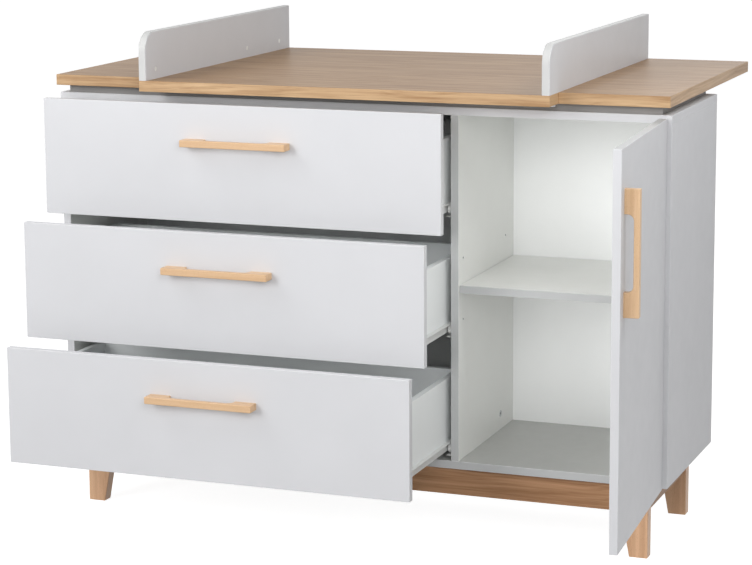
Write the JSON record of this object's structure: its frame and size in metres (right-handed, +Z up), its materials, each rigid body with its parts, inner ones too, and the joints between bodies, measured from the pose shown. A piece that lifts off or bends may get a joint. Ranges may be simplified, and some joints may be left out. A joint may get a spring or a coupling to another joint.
{
  "type": "changing dresser",
  "caption": "Nursery dresser on tapered legs with sliding drawers, a shelved cupboard behind a hinged door, and a wide changing top between guard boards.",
  "frame": {"origin": "on the floor, at the middle of the width, under the front edges of the carcass", "axes": "+X to the right as seen from the front, +Y to the back, +Z up"},
  "size_m": [1.3475, 1.1082, 1.009],
  "materials": {
    "grey_board": "particle board with a matt light grey melamine face",
    "pale_back_sheet": "thin fibreboard with a pale grey lacquered face",
    "dark_grey_board": "particle board rails with a matt mid grey face",
    "oak_decor_board": "thick particle board with a matt oak decor face",
    "brown_wood_rail": "board rail with a warm brown wood decor face",
    "beech_leg": "solid beech, clear lacquered",
    "beech_handle": "solid beech, clear lacquered, lighter",
    "raw_beech_dowel": "raw beech",
    "white_board": "thin board with a white foil face",
    "white_sheet": "white fibreboard sheet",
    "white_steel_runner": "cream white epoxy coated steel with white nylon rollers",
    "zinc_steel": "bright zinc or nickel plated steel"
  },
  "bodies": {
    "carcass": {"back_panel": "pale_back_sheet", "base_panel": "grey_board", "cam_fittings": "zinc_steel", "carcass_top_panel": "grey_board", "centre_divider": "grey_board", "changing_board": "oak_decor_board", "front_left_leg": "beech_leg", "front_plinth_rail": "brown_wood_rail", "front_right_leg": "beech_leg", "guard_fixings": "zinc_steel", "hinge_arms": "zinc_steel", "left_cabinet_runners": "white_steel_runner", "left_guard": "oak_decor_board", "left_plinth_rail": "brown_wood_rail", "left_side_panel": "grey_board", "left_top_board": "oak_decor_board", "rear_batten": "oak_decor_board", "rear_left_leg": "beech_leg", "rear_plinth_rail": "brown_wood_rail", "rear_right_leg": "beech_leg", "right_cabinet_runners": "white_steel_runner", "right_guard": "oak_decor_board", "right_plinth_rail": "brown_wood_rail", "right_side_panel": "grey_board", "right_top_board": "oak_decor_board", "shelf": "grey_board", "shelf_supports": "zinc_steel", "spacer_back_rail": "dark_grey_board", "spacer_front_rail": "dark_grey_board", "spacer_side_rails": "dark_grey_board", "wooden_dowels": "raw_beech_dowel"},
    "upper_drawer": {"upper_drawer_back": "white_board", "upper_drawer_bottom": "white_sheet", "upper_drawer_front": "grey_board", "upper_drawer_handle": "beech_handle", "upper_drawer_handle_screws": "zinc_steel", "upper_drawer_left_side": "white_board", "upper_drawer_right_side": "white_board", "upper_drawer_runners": "white_steel_runner"},
    "middle_drawer": {"middle_drawer_back": "white_board", "middle_drawer_bottom": "white_sheet", "middle_drawer_front": "grey_board", "middle_drawer_handle": "beech_handle", "middle_drawer_handle_screws": "zinc_steel", "middle_drawer_left_side": "white_board", "middle_drawer_right_side": "white_board", "middle_drawer_runners": "white_steel_runner"},
    "lower_drawer": {"lower_drawer_back": "white_board", "lower_drawer_bottom": "white_sheet", "lower_drawer_front": "grey_board", "lower_drawer_handle": "beech_handle", "lower_drawer_handle_screws": "zinc_steel", "lower_drawer_left_side": "white_board", "lower_drawer_right_side": "white_board", "lower_drawer_runners": "white_steel_runner"},
    "hinge_links": {"hinge_links": "zinc_steel"},
    "door": {"door_panel": "grey_board", "door_handle": "beech_handle", "door_handle_screws": "zinc_steel", "hinge_cups": "zinc_steel"}
  },
  "joints": [
    {"name": "upper_drawer_slide", "type": "slide", "parent": "carcass", "child": "upper_drawer", "axis": [0, -1, 0], "range_m": [-0.058, 0.197]},
    {"name": "middle_drawer_slide", "type": "slide", "parent": "carcass", "child": "middle_drawer", "axis": [0, -1, 0], "range_m": [-0.155, 0.1]},
    {"name": "lower_drawer_slide", "type": "slide", "parent": "carcass", "child": "lower_drawer", "axis": [0, -1, 0], "range_m": [-0.239, 0.016]},
    {"name": "hinge_link_swing", "type": "hinge", "parent": "carcass", "child": "hinge_links", "pos_m": [0.619, -0.0049, 0.508], "axis": [0, 0, 1], "range_deg": [-0.7, 41.7]},
    {"name": "door_swing", "type": "hinge", "parent": "hinge_links", "child": "door", "pos_m": [0.63298, -0.02079, 0.508], "axis": [0, 0, 1], "range_deg": [-135.4, 1.7]}
  ],
  "couplings": [
    {"joint": "hinge_link_swing", "follows": "door_swing", "ratio": -0.30724}
  ]
}
